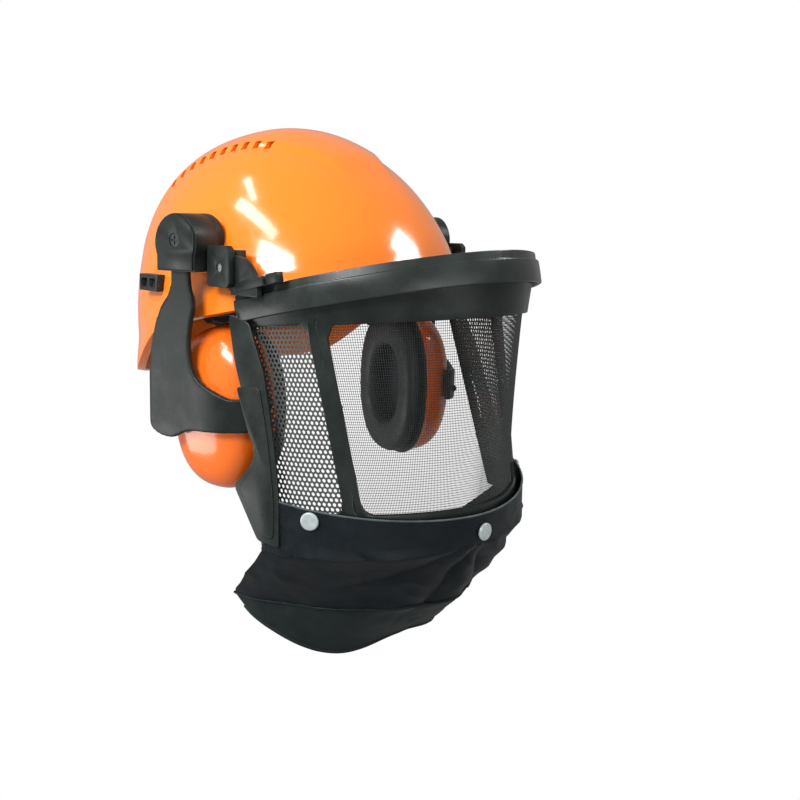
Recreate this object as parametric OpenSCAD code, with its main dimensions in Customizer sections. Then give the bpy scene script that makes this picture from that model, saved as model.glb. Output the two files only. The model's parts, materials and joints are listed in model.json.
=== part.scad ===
// Forestry helmet: hard shell with headgear, a pair of swivelling ear defenders,
// a lift-up mesh visor and a fabric chin guard snapped to the visor.
// Row frame: +Z up, wearer faces -Y, origin in the middle of the headband's lower edge.

/* [Shell] */
// Length of the shell, front to back
shell_len = 275; // [268:1:278]
// Width of the shell
shell_wid = 217; // [214:1:219]
// Height of the dome above its widest level
shell_ht = 150; // [148:0.5:152]
// Wall of the shell
shell_wall = 3; // [2.5:0.5:3.5]
// How far the shell is tipped back
shell_pitch = 6.8; // [6:0.2:7.5]
// Height of the raised crown panel
ridge_ht = 3.5; // [2:0.5:5]
// Vent slots in each row
vent_count = 10; // [6:1:12]

/* [Headgear] */
// Inside width of the headband
head_wid = 154; // [150:1:156]
// Inside reach of the headband in front of the origin
head_front = 98; // [95:1:100]
// Height of the headband
band_ht = 28; // [24:1:30]
// Width of a crown strap
strap_wid = 20; // [16:1:22]
// Radius of the ratchet knob
knob_r = 17; // [15:0.5:18]

/* [Ear defenders] */
// Turn of each ear defender towards the front
muff_yaw = 12; // [11:0.5:13]
// Height of the ear cup
cup_ht = 113; // [110:1:114]
// Width of the ear cup
cup_wid = 78; // [76:1:80]
// Depth of the ear cup
cup_depth = 32.5; // [30:0.5:33]
// Thickness of the sealing cushion
cushion_t = 13; // [11:0.5:14]

/* [Visor] */
// Half width of the brow band
brow_w = 104; // [103.6:0.2:104.4]
// Reach of the brow band in front of the origin
brow_front = 198; // [196:0.5:199]
// Height of the brow band's face
brow_ht = 14.5; // [13:0.5:16]
// Slope of the brow band, degrees, front up
brow_pitch = 12.8; // [12:0.2:13.5]
// Thickness of the visor frame
frame_t = 3; // [2.5:0.5:3.5]
// Bottom edge of the visor
visor_low_z = -145; // [-148:1:-142]
// Thickness of the mesh sheets
mesh_t = 0.8; // [0.6:0.1:1]
// Diameter of a snap stud
stud_d = 11.4; // [10:0.2:12.5]

/* [Hidden] */
shell_c = [0, 4.2, -28.6];          // centre of the dome's widest level
shell_a = shell_len / 2;
shell_b = shell_wid / 2;
muff_o = [-92, -17, 0];             // where the right ear defender's axis leaves the shell
swivel_z = 42.8;                    // height of the ear defender's swivel
visor_pivot = [0, -56, 26];         // hinge line of the visor
cup_s = 13;                         // middle of the cup, forward of the swivel
cup_z = -72;                        // middle of the cup
cup_base = -8;                      // sealing plane of the cup, outward from the shell
right = 1;
left = -1;

// ---------- helpers ----------
function power(v, e) = pow(abs(v), e);
function lerp(a, b, f) = a + (b - a) * f;
function smooth(v) = let (c = min(1, max(0, v))) c * c * (3 - 2 * c);

// mirrors what is modelled on the wearer's right (-X) to the given side
module side(s) { mirror([s == left ? 1 : 0, 0, 0]) children(); }

// frame of the right ear defender: -X outward from the shell, -Y forward along it
module muff_frame(s) {
    side(s) translate(muff_o) rotate([0, 0, muff_yaw]) children();
}

// extrudes a (y, z) outline along X from x0 to x1; the outline is given as [y, z]
module along_x(x0, x1) {
    translate([x0, 0, 0]) rotate([90, 0, 90]) linear_extrude(height = x1 - x0) children();
}

// closed plate between an outer and an inner grid of points, without the cells that keep() drops
module grid_plate(outer, inner, keep) {
    nc = len(outer) - 1;
    nr = len(outer[0]) - 1;
    total = (nc + 1) * (nr + 1);
    at = function(i, j) i * (nr + 1) + j;
    held = function(i, j) i >= 0 && j >= 0 && i < nc && j < nr && keep(i, j);
    points = concat([for (col = outer) each col], [for (col = inner) each col]);
    skin = [for (i = [0:nc - 1], j = [0:nr - 1]) if (held(i, j)) each
        [[at(i, j), at(i + 1, j), at(i + 1, j + 1)], [at(i, j), at(i + 1, j + 1), at(i, j + 1)]]];
    back = [for (f = skin) [f[0] + total, f[2] + total, f[1] + total]];
    edge = function(a, b) [[b, a, a + total], [b, a + total, b + total]];
    walls = [for (i = [0:nc - 1], j = [0:nr - 1]) if (held(i, j)) each concat(
        held(i, j - 1) ? [] : edge(at(i, j), at(i + 1, j)),
        held(i + 1, j) ? [] : edge(at(i + 1, j), at(i + 1, j + 1)),
        held(i, j + 1) ? [] : edge(at(i + 1, j + 1), at(i, j + 1)),
        held(i - 1, j) ? [] : edge(at(i, j + 1), at(i, j)))];
    polyhedron(points = points, faces = concat(skin, back, walls), convexity = 8);
}

// closed solid of rings stacked from first to last, capped at both ends
module ring_stack(rings) {
    n = len(rings[0]);
    m = len(rings);
    points = [for (r = rings) each r];
    sides = [for (k = [0:m - 2], i = [0:n - 1]) let (a = k * n + i, b = k * n + (i + 1) % n) each
        [[a, b, b + n], [a, b + n, a + n]]];
    caps = [[for (i = [n - 1:-1:0]) i], [for (i = [0:n - 1]) (m - 1) * n + i]];
    polyhedron(points = points, faces = concat(sides, caps), convexity = 4);
}

// ---------- shell ----------
dome_steps = 72;
dome_rows = 16;
// level of the rim round the shell: high at the brow, low at the nape
function rim_z(y) = 13 - 0.1 * y - 27 * smooth((y - 8) / 80);
// the dome is fuller behind (e > 2.2) than in front
function dome_scale(z, h, e) = z <= 0 ? 1 : power(1 - power(z / h, e), 1 / e);
function fullness(uy) = 2.2 + 0.3 * uy;
// raised panel that runs along the crown and tapers out towards the brow
function crown(x, y, z) = ridge_ht * smooth((vent_x(y) + 7 - abs(x)) / 9) * smooth((z - 50) / 40)
    * smooth((y + 92) / 30);
// height of the dome over a point of its plan
function dome_z(x, y) = let (r = power(power(x / shell_b, 2.25) + power(y / shell_a, 2.25), 1 / 2.25),
    e = fullness(y / (shell_a * max(r, 0.01)))) shell_ht * power(1 - power(r, e), 1 / e);
function dome_point(az, v, inset) = let (
    rx = shell_b - inset, ry = shell_a - inset, h = shell_ht - inset,
    ux = sign(cos(az)) * power(cos(az), 2 / 2.25), uy = sign(sin(az)) * power(sin(az), 2 / 2.25),
    rim = rim_z(shell_a * uy),
    z = rim + (h - rim) * sin(90 * v),
    f = dome_scale(z, h, fullness(uy)),
    lip = inset > 0 ? 0 : 3 * smooth(1 - v * 8),
    x = (rx + lip) * ux * f, y = (ry + lip) * uy * f,
    up = inset > 0 ? 0 : crown(x, y, z))
    [x, y, z + up];
module shell_frame() { translate(shell_c) rotate([-shell_pitch, 0, 0]) children(); }
module shell_skin() {
    outer = [for (k = [0:dome_rows]) let (v = k == dome_rows ? 0.995 : k / dome_rows)
        [for (i = [0:dome_steps - 1]) dome_point(360 * i / dome_steps, v, 0)]];
    inner = [for (k = [0:dome_rows]) let (v = k == dome_rows ? 0.995 : k / dome_rows)
        [for (i = [0:dome_steps - 1]) dome_point(360 * i / dome_steps, v, shell_wall)]];
    n = dome_steps;
    m = dome_rows + 1;
    t = n * m;
    points = concat([for (r = outer) each r], [for (r = inner) each r]);
    out_f = [for (k = [0:m - 2], i = [0:n - 1]) let (a = k * n + i, b = k * n + (i + 1) % n) each
        [[a, b + n, b], [a, a + n, b + n]]];
    in_f = [for (f = out_f) [f[0] + t, f[2] + t, f[1] + t]];
    rim_f = [for (i = [0:n - 1]) let (j = (i + 1) % n) each [[i, j, j + t], [i, j + t, i + t]]];
    top_f = [[for (i = [n - 1:-1:0]) t - n + i], [for (i = [0:n - 1]) 2 * t - n + i]];
    polyhedron(points = points, faces = concat(out_f, in_f, rim_f, top_f), convexity = 6);
}
// vents run along both flanks of the raised panel, which widens towards the rear
function vent_x(y) = 53.3 + 0.27 * y;
vent_first_y = -40;
vent_pitch = 10.1;
module shell() {
    color("#f98a2c") shell_frame() difference() {
        shell_skin();
        for (s = [-1, 1], k = [0:vent_count - 1]) let (y = vent_first_y + k * vent_pitch)
            translate([s * vent_x(y), y, dome_z(vent_x(y), y)]) cube([5.2, 5.4, 24], center = true);
    }
}

// ---------- headgear ----------
leg_y = 55;          // where the headband's legs end
nape_y = 108;        // rear of the nape strap
strap_t = 2;
head_pitch = 8;      // the headband rises towards the brow
nape_slope = 18;     // the nape strap falls towards the back
nape_o = [0, 15, 8];
module head_frame() { rotate([-head_pitch, 0, 0]) children(); }
// ring with an elliptical front and straight legs, open at the back
module open_ring(rx, front, back, t) {
    n = 32;
    outer = [for (i = [0:n]) let (a = 180 * i / n) [-(rx + t) * cos(a), -(front + t) * sin(a)]];
    inner = [for (i = [n:-1:0]) let (a = 180 * i / n) [-rx * cos(a), -front * sin(a)]];
    polygon(concat([[-rx - t, back]], outer, [[rx + t, back], [rx, back]], inner, [[-rx, back]]));
}
module headband() {
    color("#2c3030") head_frame() linear_extrude(height = band_ht)
        open_ring(head_wid / 2, head_front, leg_y, strap_t);
}
module sweatband() {
    color("#3a3f40") head_frame() translate([0, 0, 1]) linear_extrude(height = band_ht - 2)
        intersection() {
            open_ring(head_wid / 2 - 4.6, head_front - 4.6, leg_y, 4);
            translate([-80, -120]) square([160, 90]);
        }
}
// one webbing strap of the cradle: a superelliptic arch over the head
strap_base = 20;     // height of the strap ends above the headband's lower edge
module arch(half, top, turn) {
    n = 40;
    function pt(r, h, i) = let (a = 180 * i / n) [r * sign(cos(a)) * power(cos(a), 2 / 2.3), h * power(sin(a), 2 / 2.3)];
    color("#33383a") head_frame() translate([0, 0, strap_base]) rotate([90, 0, turn])
        translate([0, 0, -strap_wid / 2]) linear_extrude(height = strap_wid)
            polygon(concat([for (i = [0:n]) pt(half, top, i)],
                [for (i = [n:-1:0]) pt(half - 1.2, top - 1.2, i)]));
}
mid_half = 90;       // reach of the strap from ear to ear
diagonal_half = 98;  // reach of the crossed straps
strap_turn = 50;     // turn of the crossed straps
module crown_strap_middle() { arch(mid_half, 74, 0); }
module crown_strap_right() { arch(diagonal_half, 78, strap_turn); }
module crown_strap_left() { arch(diagonal_half, 76, -strap_turn); }
// moulded clips at the strap ends, from the headband out to the shell: turn, strap, headband and shell
clips = [[0, mid_half, 79.4, 101], [180, mid_half, 79.4, 101],
    [strap_turn, diagonal_half, 94, 119], [180 - strap_turn, diagonal_half, 94, 119],
    [180 + strap_turn, diagonal_half, 90, 109], [360 - strap_turn, diagonal_half, 90, 109]];
module cradle_clips() {
    color("#262a2a") head_frame() for (c = clips) rotate([0, 0, c[0]]) difference() {
        union() {
            translate([c[1] - 3.4, -12, strap_base - 4]) cube([5.4, 24, 16]);
            translate([c[2], -6, strap_base - 4]) cube([c[3] - c[2], 12, 3]);
        }
        translate([c[1] - 2, -strap_wid / 2 - 0.3, strap_base - 0.3]) cube([2.6, strap_wid + 0.6, 20]);
    }
}
nape_rx = head_wid / 2 + strap_t + 0.6;
// loops that hold the nape strap against the headband's legs
module strap_guides() {
    color("#262a2a") for (s = [right, left]) side(s) translate(nape_o) rotate([-nape_slope, 0, 0])
        translate([-nape_rx - strap_t - 2.6, 16, -1.6]) difference() {
            cube([strap_t + 2.6, 14, 19.2]);
            translate([2, -1, 1]) cube([strap_t + 2, 16, 17.2]);
        }
}
module chin_strap_lug(s) {
    color("#262a2a") side(s) translate([-104.6, 28, -27]) rotate([0, 90, 0]) difference() {
        union() {
            cylinder(r = 6.5, h = 3.5, $fn = 48);
            translate([-16, -6.5, 0]) cube([16, 13, 3.5]);
        }
        translate([0, 0, -1]) cylinder(r = 2.5, h = 6, $fn = 48);
    }
}
module chin_strap_lug_right() { chin_strap_lug(right); }
module chin_strap_lug_left() { chin_strap_lug(left); }
module nape_frame() { translate(nape_o) rotate([-nape_slope, 0, 0]) children(); }
module nape_strap() {
    color("#2c3030") nape_frame() linear_extrude(height = 16) mirror([0, 1])
        translate([0, -(60)]) open_ring(nape_rx, nape_y - 78, 52, strap_t);
}
knob_y = 94;         // ratchet housing, behind the start of the nape strap
axle_r = 4;
module ratchet_housing() {
    color("#262a2a") nape_frame() translate([0, knob_y, 8]) rotate([-90, 0, 0]) difference() {
        union() {
            translate([-34, -9.5, -4.5]) cube([68, 19, 8]);
            cylinder(r = knob_r + 2, h = 3.5, $fn = 64);
        }
        translate([0, 0, -6]) cylinder(r = axle_r + run, h = 14, $fn = 48);
        translate([-36, -8.2, -4.6]) cube([72, 16.4, 3.2]);
    }
}
module nape_pad() {
    color("#3a3f40") nape_frame() translate([-30, knob_y - 12.4, -7]) cube([60, 5, 30]);
}
module ratchet_knob() {
    color("#303535") nape_frame() translate([0, knob_y + 4, 8]) rotate([-90, 0, 0]) difference() {
        union() {
            cylinder(r = knob_r, h = 11, $fn = 72);
            for (a = [0:30:330]) rotate([0, 0, a]) translate([knob_r - 0.5, 0, 0]) cylinder(r = 1.8, h = 10, $fn = 24);
        }
        translate([0, 0, 7]) cylinder(r = knob_r - 4, h = 6, $fn = 64);
        translate([0, 0, -1]) cylinder(r = axle_r, h = 5, $fn = 48);
    }
}
module ratchet_axle() {
    color("#9aa0a0") nape_frame() translate([0, knob_y - 1.2, 8]) rotate([-90, 0, 0])
        cylinder(r = axle_r, h = 9.2, $fn = 48);
}
// small clip with two windows near the rear rim, for a goggle or lamp strap
module strap_clip(s) {
    color("#1d2121") side(s) translate([-111.5, 24, 5]) difference() {
        cube([7, 25, 12]);
        for (y = [3, 14]) translate([-1, y, 3]) cube([5, 8, 6]);
    }
}
module strap_clip_right() { strap_clip(right); }
module strap_clip_left() { strap_clip(left); }

// ---------- ear defenders ----------
housing_u = 35;      // outer face of the housing, outward from the shell
module round_x(r, u0, u1, y = 0, z = 0) {
    translate([-u1, y, z]) rotate([0, 90, 0]) cylinder(r = r, h = u1 - u0, $fn = 64);
}
module slot_adapter(s) {
    color("#2b3130") muff_frame(s) difference() {
        union() {
            round_x(17.6, 5.2, 12.6, 0, swivel_z);
            round_x(12, -2, 5.2, 0, swivel_z);
        }
        round_x(4.05, -5, 14, 0, swivel_z);
    }
}
module slot_adapter_right() { slot_adapter(right); }
module slot_adapter_left() { slot_adapter(left); }
// D-shaped outline of the swivel housing, flat at the bottom
module housing_outline(inset = 0) {
    intersection() {
        union() {
            translate([0, 41]) circle(r = 19.3 - inset, $fn = 96);
            translate([-17.5 + inset, 22.5 + inset]) square([35 - 2 * inset, 22]);
        }
        translate([-19.3 + inset, 22.5 + inset]) square([38.6 - 2 * inset, 40]);
    }
}
arm_mid = 29;        // middle of the arm's wall, outward from the shell
arm_t = 4.5;
arm_in = arm_mid - arm_t / 2;
arm_out = arm_mid + arm_t / 2;
flip_z = 27;         // height of the pin on which the arm flips outward
flip_r = 2;
bolt_r = 4;
run = 0.05;          // running clearance of a pin in its bore
// pin along the ear defender's forward direction
module round_y(r, y0, y1, u, z) {
    translate([-u, y0, z]) rotate([-90, 0, 0]) cylinder(r = r, h = y1 - y0, $fn = 48);
}
module muff_housing(s) {
    color("#3d4543") muff_frame(s) difference() {
        union() {
            along_x(-housing_u + 1.2, -13.2) housing_outline();
            along_x(-housing_u, -housing_u + 1.3) housing_outline(1.2);
        }
        // cavity for the carrier and the arm's neck, open at the bottom
        translate([-32.6, -10, 20]) cube([16.4, 20, 36.5]);
        // blind recess of the cover screw
        round_x(4.6, 33.2, 40, 0, swivel_z);
        round_x(bolt_r + run, 10, 20, 0, swivel_z);
        round_y(flip_r + run, -13, 13, arm_mid - 1, flip_z);
    }
}
module muff_housing_right() { muff_housing(right); }
module muff_housing_left() { muff_housing(left); }
// bolt on which the housing swivels, held in the adapter
module swivel_bolt(s) {
    color("#8d9494") muff_frame(s) round_x(bolt_r, -1.9, 17.2, 0, swivel_z);
}
module swivel_bolt_right() { swivel_bolt(right); }
module swivel_bolt_left() { swivel_bolt(left); }
// screw head in the recess of the housing's face
module cover_screw(s) {
    color("#9aa2a3") muff_frame(s) difference() {
        round_x(4.4, 33.2, 34.4, 0, swivel_z);
        translate([-35, -0.6, swivel_z - 3]) cube([1.4, 1.2, 6]);
        translate([-35, -3, swivel_z - 0.6]) cube([1.4, 6, 1.2]);
    }
}
module cover_screw_right() { cover_screw(right); }
module cover_screw_left() { cover_screw(left); }
// carrier that holds the neck and flips with it on the pin
module arm_carrier(s) {
    color("#1f2424") muff_frame(s) difference() {
        union() {
            translate([-arm_in + 0.3, -9.5, flip_z - 3.5]) cube([3, 19, 26]);
            for (y = [-9.5, 8.6]) translate([-arm_out, y, flip_z - 3.5]) cube([arm_t + 0.5, 0.9, 26]);
        }
        round_y(flip_r + run, -12, 12, arm_mid - 1, flip_z);
    }
}
module arm_carrier_right() { arm_carrier(right); }
module arm_carrier_left() { arm_carrier(left); }
module flip_pin(s) {
    color("#8d9494") muff_frame(s) for (y = [-12.9, 8.2]) round_y(flip_r, y, y + 4.7, arm_mid - 1, flip_z);
}
module flip_pin_right() { flip_pin(right); }
module flip_pin_left() { flip_pin(left); }
// torsion spring above the carrier that presses the cup to the head
module flip_spring(s) {
    color("#9aa2a3") muff_frame(s) difference() {
        round_y(2.4, -5, 5, 23.6, flip_z + 25.6);
        round_y(1.4, -6, 6, 23.6, flip_z + 25.6);
    }
}
module flip_spring_right() { flip_spring(right); }
module flip_spring_left() { flip_spring(left); }
// side outline of the arm and yoke, as [backward, up]
arm_outline = [[-8, 39], [-8, 12], [-12.5, 4], [-12.5, 0], [-6.5, -20], [-8, -38], [-15, -49],
    [-30, -55], [-42, -59.5], [-48, -60], [-53, -57], [-70, -57], [-70, -79], [-52, -81], [-6, -84],
    [8, -92], [22, -91], [30, -86], [36, -72], [36, -60], [31, -48], [28, -28], [23.5, -12], [17, 0],
    [12, 5], [8, 12], [8, 39]];
rear_turn = 5;       // radius of the yoke's turn round the rear of the cup
rear_leg = 32;       // middle of its rear leg, behind the swivel
front_turn = 45.5;   // radius of its turn round the front
front_flat = 20;     // where that turn starts, ahead of the swivel
// plan of the yoke's wall, offset outward by o, as [-outward, -forward]
function yoke_side(o) = concat([[-12, rear_leg + o]],
    [for (a = [90:-15:0]) [-(arm_mid - rear_turn) - (rear_turn + o) * cos(a),
        rear_leg - rear_turn + (rear_turn + o) * sin(a)]],
    [for (a = [0:6:60]) [-(arm_mid - front_turn) - (front_turn + o) * cos(a),
        -front_flat - (front_turn + o) * sin(a)]]);
module muff_arm(s) {
    inner = yoke_side(-arm_t / 2);
    color("#3d4543") muff_frame(s) difference() {
        intersection() {
            along_x(-40, 10) polygon(arm_outline);
            translate([0, 0, -100]) linear_extrude(height = 150)
                polygon(concat(yoke_side(arm_t / 2), [for (i = [len(inner) - 1:-1:0]) inner[i]]));
        }
        round_y(2.5 + run, 24, 40, 14, cup_z);
        round_y(2.5 + run, -80, -45, 14, cup_z);
    }
}
module muff_arm_right() { muff_arm(right); }
module muff_arm_left() { muff_arm(left); }
// ---------- cups ----------
cup_steps = 40;
function cup_ring(u, f, hw, hh) = [for (i = [0:cup_steps - 1]) let (a = 360 * i / cup_steps)
    [-u, -cup_s + f * hw * sign(cos(a)) * power(cos(a), 2 / 2.35),
        cup_z + f * hh * sign(sin(a)) * power(sin(a), 2 / 2.35)]];
// domed oval solid from the sealing plane outward
module cup_form(u0, depth, hw, hh) {
    ring_stack([for (k = [0:7]) let (e = k == 7 ? 0.985 : sin(90 * k / 7.2), f = power(1 - power(e, 3.4), 1 / 3.4))
        cup_ring(u0 + depth * e, max(f, 0.3), hw, hh)]);
}
module cup(s) {
    wall = 2.6;
    color("#f2701c") muff_frame(s) difference() {
        cup_form(cup_base, cup_depth, cup_wid / 2, cup_ht / 2);
        translate([0.01, 0, 0]) cup_form(cup_base, cup_depth - wall, cup_wid / 2 - wall, cup_ht / 2 - wall);
    }
}
module cup_right() { cup(right); }
module cup_left() { cup(left); }
// pins moulded as separate trunnions in the cup's rear and front
module cup_pins(s) {
    color("#262a2a") muff_frame(s) {
        round_y(2.5, 12, 34.2, 14, cup_z);
        round_y(2.5, -58, -42, 14, cup_z);
    }
}
module cup_pins_right() { cup_pins(right); }
module cup_pins_left() { cup_pins(left); }
module oval(hw, hh) {
    polygon([for (i = [0:63]) let (a = 360 * i / 64)
        [-cup_s + hw * sign(cos(a)) * power(cos(a), 2 / 2.35), cup_z + hh * sign(sin(a)) * power(sin(a), 2 / 2.35)]]);
}
module cup_plate(s) {
    color("#262a2a") muff_frame(s) along_x(-cup_base, -cup_base + 2.4) difference() {
        oval(cup_wid / 2 + 1.4, cup_ht / 2 + 1.4);
        oval(21, 31);
    }
}
module cup_plate_right() { cup_plate(right); }
module cup_plate_left() { cup_plate(left); }
module foam_liner(s) {
    color("#3c4245") muff_frame(s) cup_form(cup_base + 1, cup_depth - 12, 34, 46);
}
module foam_liner_right() { foam_liner(right); }
module foam_liner_left() { foam_liner(left); }
module cushion(s) {
    color("#15191a") muff_frame(s) along_x(-cup_base + 2.8, -cup_base + 2.8 + cushion_t) difference() {
        oval(cup_wid / 2 - 0.5, cup_ht / 2 - 0.5);
        oval(19, 30);
    }
}
module cushion_right() { cushion(right); }
module cushion_left() { cushion(left); }

// ---------- visor ----------
// point on an arch seen from above: angle 0 at the wearer's right, 90 in front, 180 at the left
function arch_point(w, rear, front, n, a) =
    [-w * sign(cos(a)) * power(cos(a), 2 / n), rear + (front - rear) * power(sin(a), 2 / n)];
brow_rear = -60;
brow_z = 5;          // top of the brow band's face at its rear ends
brow_rise = tan(brow_pitch);
// levels of the visor's surface: top edge, window tops and bottom edge
function level_top(a, t) = let (p = arch_point(101 - t, -59, 3 - brow_front + t, 2, a))
    [p[0], p[1], brow_z - brow_ht + 3 - brow_rise * (p[1] - brow_rear)];
function level_window(a, t) = let (p = arch_point(99.6 - t, -57, 3 - brow_front + t, 1.9, a))
    [p[0], p[1], -12.6 - 0.1 * (p[1] + 57)];
function level_low(a, t) = let (p = arch_point(113 - t, -90, -182 + t, 1.85, a)) [p[0], p[1], visor_low_z];
window_low = 0.82;   // window bottoms, as a share of the way down
// angles of the vertical lines of the frame, at the window tops and at the bottom
rear_edge = [3.6, 8.5];
rear_in = [6.7, 13];
strut_rear = [26.2, 43.5];
strut_front = [31.5, 52];
side_cols = 4;
front_cols = 14;
function half_lines(k) = concat([rear_edge[k]], [for (i = [0:side_cols]) lerp(rear_in[k], strut_rear[k], i / side_cols)]);
function all_lines(k) = concat(half_lines(k),
    [for (i = [0:front_cols]) lerp(strut_front[k], 180 - strut_front[k], i / front_cols)],
    [for (i = [side_cols:-1:0]) 180 - half_lines(k)[i + 1]], [180 - rear_edge[k]]);
function visor_column(i, t, low_gap = 0) = let (a = all_lines(0)[i], b = all_lines(1)[i],
    top = level_top(a, t), win = level_window(a, t), low = level_low(b, t))
    [top, win, lerp(win, low, window_low), low];
rear_col = 0;
strut_col = side_cols + 1;
far_strut_col = strut_col + front_cols + 1;
last_col = far_strut_col + side_cols + 1;
function is_window(i, j) = j == 1 && i != rear_col && i != strut_col && i != far_strut_col && i != last_col;
module visor_frame() {
    outer = [for (i = [0:last_col + 1]) visor_column(i, 0)];
    inner = [for (i = [0:last_col + 1]) visor_column(i, frame_t)];
    color("#3a4341") grid_plate(outer, inner, function(i, j) !is_window(i, j));
}
// mesh sheet behind a window, lapped over the frame by a margin
module mesh_sheet(first, last) {
    gap = frame_t + 0.1;
    outer = [for (i = [first:last]) let (c = visor_column(i, gap)) [lerp(c[1], c[2], -0.03), lerp(c[1], c[2], 1.03)]];
    inner = [for (i = [first:last]) let (c = visor_column(i, gap + mesh_t)) [lerp(c[1], c[2], -0.03), lerp(c[1], c[2], 1.03)]];
    color("#7b8483") grid_plate(outer, inner, function(i, j) true);
}
module front_mesh() { mesh_sheet(strut_col, far_strut_col + 1); }
module side_mesh_right() { mesh_sheet(0, strut_col); }
module side_mesh_left() { mesh_sheet(far_strut_col + 1, last_col + 1); }
module brow_frame() { translate([0, brow_rear, brow_z]) rotate([-brow_pitch, 0, 0]) children(); }
module brow_outline(o) {
    n = 48;
    w = brow_w - o;
    d = (brow_front + brow_rear - o) / cos(brow_pitch);
    polygon(concat([[w, 2]], [for (i = [0:n]) let (a = 180 * i / n) [w * cos(a), -d * sin(a)]], [[-w, 2]]));
}
module brow_band() {
    color("#59625f") brow_frame() difference() {
        union() {
            translate([0, 0, -brow_ht]) linear_extrude(height = brow_ht) brow_outline(0);
            linear_extrude(height = 5) brow_outline(1.8);
        }
        translate([0, 0, -brow_ht - 1]) linear_extrude(height = brow_ht + 10) intersection() {
            brow_outline(5.4);
            translate([-150, -200]) square([300, 250]);
        }
        // relief beside the shell at the rear ends
        translate([-101.1, -9, -30]) cube([202.2, 20, 60]);
    }
}
// riveted plate at the rear edge of the visor, wider at the bottom to reach behind the frame
plate_outline = [[-59, -6], [-66, -36], [-80, -64], [-89, -84], [-88, -96], [-75, -112], [-98, -142],
    [-114, -144], [-110, -112], [-101, -76], [-90, -40], [-74, -10]];
plate_yaw = 17;
plate_flare = 9.5;
module side_plate(s) {
    color("#39423f") side(s) translate([-103.4, -59, 0]) rotate([0, 0, plate_yaw]) rotate([0, plate_flare, 0])
        translate([0, 59, 0]) along_x(-2.2, 0) polygon(plate_outline);
}
module side_plate_right() { side_plate(right); }
module side_plate_left() { side_plate(left); }
module visor_rivets() {
    places = [[-109.3, -98.5, -91.5, 17], [-112.5, -107, -126.6, 17], [-79.3, -135.9, -55.5, 22]];
    color("#aab2b2") for (s = [right, left], p = places)
        side(s) translate([p[0], p[1], p[2]]) rotate([0, 0, p[3]]) rotate([0, -90, 0])
            translate([0, 0, -2.6]) cylinder(r = 1.5, h = 3.4, $fn = 24);
}
// place of each snap's middle on the guard, and the direction it faces
stud_places = [[-98.9, -133.4, -123, 56], [0, -185.8, -136, 0], [98.9, -133.4, -123, -56]];
module at_stud(p, out) {
    translate([p[0], p[1], p[2]]) rotate([0, 0, -p[3]]) rotate([90, 0, 0]) translate([0, 0, out]) children();
}
// rings set in the lower rail that the studs snap into
module snap_sockets() {
    color("#9aa2a3") for (p = stud_places) at_stud(p, -7.5) cylinder(r = 3.6, h = 3, $fn = 32);
}
module snap_studs() {
    color("#c9d3d4") for (p = stud_places) at_stud(p, 0.1) cylinder(r = stud_d / 2, h = 1.6, $fn = 48);
}
visor_arm_x = -107.4;
module visor_arm(s) {
    color("#46504d") side(s) difference() {
        union() {
            along_x(visor_arm_x, visor_arm_x + 4) union() {
                intersection() {
                    translate([-65, 9]) circle(r = 25, $fn = 96);
                    translate([-92, 9]) square([30, 40]);
                }
                translate([visor_pivot[1], visor_pivot[2]]) circle(r = 8, $fn = 64);
                polygon([[-50, 20], [-64, 9], [-68, 30], [-60, 33.5]]);
            }
            brow_frame() translate([visor_arm_x - 0.4, -38, 3.6]) cube([9, 30, 6]);
            brow_frame() translate([visor_arm_x + 1, -50, 3.6]) cube([6, 10, 6.5]);
        }
        translate([0, visor_pivot[1], visor_pivot[2]]) rotate([0, 90, 0])
            cylinder(r = 3 + run, h = 400, center = true, $fn = 48);
    }
}
module visor_arm_right() { visor_arm(right); }
module visor_arm_left() { visor_arm(left); }
// bracket that carries the visor's pin: an outer cheek and a block beside the shell
module visor_bracket(s) {
    color("#3d4543") side(s) difference() {
        union() {
            along_x(-112.6, visor_arm_x - 0.5) intersection() {
                translate([-67, 13.5]) square([24.6, 26.5]);
                translate([-54, 26.7]) circle(r = 16.5, $fn = 96);
            }
            along_x(visor_arm_x - 0.6, -98) translate([-44.6, 16]) square([3.4, 21]);
            along_x(visor_arm_x + 4.5, -95.5) translate([-62, 16]) square([20, 21]);
        }
        translate([0, visor_pivot[1], visor_pivot[2]]) rotate([0, 90, 0])
            cylinder(r = 3, h = 400, center = true, $fn = 48);
    }
}
module visor_bracket_right() { visor_bracket(right); }
module visor_bracket_left() { visor_bracket(left); }
module visor_pivot_pins() {
    color("#8d9494") for (s = [right, left]) side(s) translate([-111.6, visor_pivot[1], visor_pivot[2]])
        rotate([0, 90, 0]) cylinder(r = 3, h = 16, $fn = 48);
}

// ---------- chin guard ----------
guard_t = 1.6;
guard_cols = 30;
// angles at which the guard's rear edge starts: top edge, visor's bottom, seam and hem
guard_edge = [18, 10.4, 0, 0];
guard_off = 2.2;     // gap between the visor's frame and the guard's outside
// lines of the guard, t inside its outer surface
function guard_line(k, i, t) = let (a = lerp(guard_edge[k], 180 - guard_edge[k], i / guard_cols), f = sin(a))
    k == 0 ? let (p = arch_point(112.4 + guard_off - t, -84, -185.2 - guard_off + t, 1.87, a)) [p[0], p[1], -110 - 14 * f]
    : k == 1 ? let (p = arch_point(115.6 + guard_off - t, -90, -182.4 - guard_off + t, 1.85, a))
        [p[0], p[1], visor_low_z - 1]
    : k == 2 ? let (p = arch_point(94 - t, -48, -160 + t, 1.8, a)) [p[0], p[1], -199 + 9 * f]
    : let (p = arch_point(88 - t, -50, -118 + t, 1.9, a))
        [p[0], p[1], -210 - 36 * power(f, 1.2) + 18 * power(f, 8)];
module guard_panel(column) {
    grid_plate([for (i = [0:guard_cols]) column(i, 0)], [for (i = [0:guard_cols]) column(i, guard_t)],
        function(i, j) true);
}
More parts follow.
